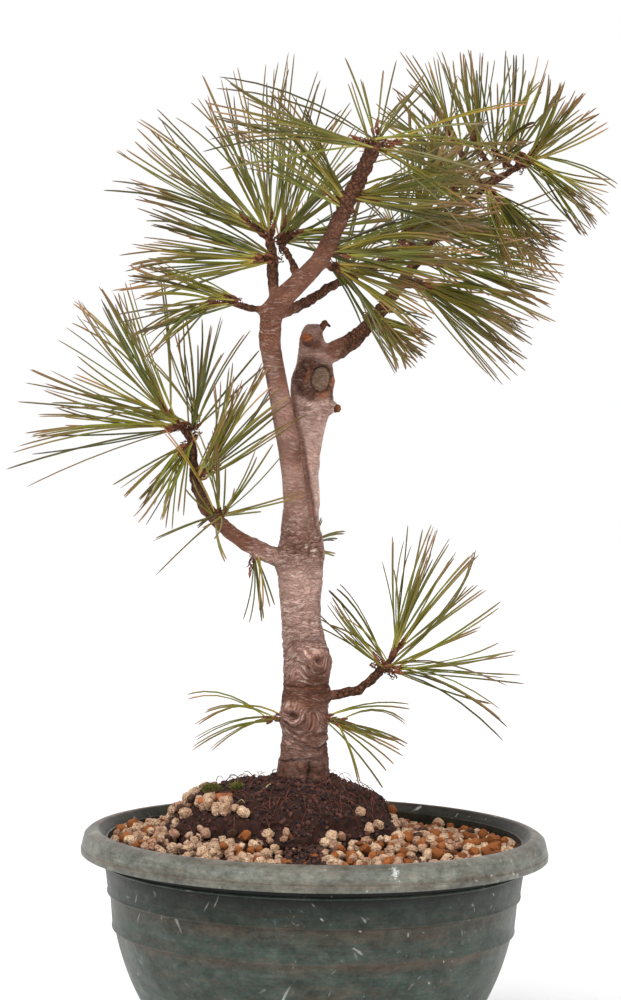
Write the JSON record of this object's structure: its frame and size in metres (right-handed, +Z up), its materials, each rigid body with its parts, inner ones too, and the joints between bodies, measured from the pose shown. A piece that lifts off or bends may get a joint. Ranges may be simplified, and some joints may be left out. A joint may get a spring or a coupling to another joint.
{
  "type": "potted pine bonsai",
  "caption": "Young black pine trained as a bonsai, with a forked trunk and tufts of long paired needles, in a round plastic bowl pot of gritty soil.",
  "frame": {"origin": "middle of the flat underside of the pot", "axes": "+Z up the tree, -Y the tree's front, +X to the right as seen from the front"},
  "size_m": [0.3816, 0.3, 0.6634],
  "materials": {
    "pot_plastic": "weathered dull blue-green plastic, lighter on the rim, with pale scratches and lime marks",
    "grit": "loose pumice and fired-clay grains, cream, pinkish and orange-brown",
    "peat": "damp dark brown peat with fine roots",
    "bark": "pinkish grey-brown bark with fine wrinkles, scaly and darker on the twigs",
    "dead_bark": "reddish brown dry bark",
    "moss": "short dry olive moss",
    "needles": "semi-gloss green needles, paler at the foot, in pairs from brown bud scales"
  },
  "bodies": {
    "root": {"gravel_fill": "grit", "loose_bark": "dead_bark", "moss_large": "moss", "moss_small": "moss", "needles_crown_centre": "needles", "needles_crown_centre_high": "needles", "needles_crown_centre_rear": "needles", "needles_crown_low_spur": "needles", "needles_crown_rear": "needles", "needles_crown_rear_low": "needles", "needles_crown_right_base": "needles", "needles_crown_right_low": "needles", "needles_crown_right_mid": "needles", "needles_crown_tip_out": "needles", "needles_crown_tip_up": "needles", "needles_crown_top": "needles", "needles_crown_top_back": "needles", "needles_crown_top_front": "needles", "needles_crown_top_left": "needles", "needles_crown_top_right": "needles", "needles_crown_under": "needles", "needles_leader_left_spur": "needles", "needles_leader_low_spur": "needles", "needles_leader_mid_spur": "needles", "needles_leader_right_spur": "needles", "needles_leader_tip_left": "needles", "needles_leader_tip_right": "needles", "needles_leader_tip_up": "needles", "needles_left_branch_front": "needles", "needles_left_branch_low": "needles", "needles_left_branch_mid": "needles", "needles_left_branch_outer": "needles", "needles_left_branch_rear": "needles", "needles_left_branch_tip": "needles", "needles_left_branch_under": "needles", "needles_left_spur_inner": "needles", "needles_left_spur_outer": "needles", "needles_left_spur_rear": "needles", "needles_left_spur_right": "needles", "needles_left_spur_side": "needles", "needles_left_spur_top": "needles", "needles_left_twig": "needles", "needles_low_left_small": "needles", "needles_low_right_inner": "needles", "needles_low_right_small": "needles", "needles_low_right_tip": "needles", "needles_low_right_top": "needles", "needles_rear_twig_side": "needles", "needles_rear_twig_tip": "needles", "needles_trunk_rear": "needles", "pot": "pot_plastic", "root_ball": "peat", "trunk_and_branches": "bark"}
  },
  "joints": []
}
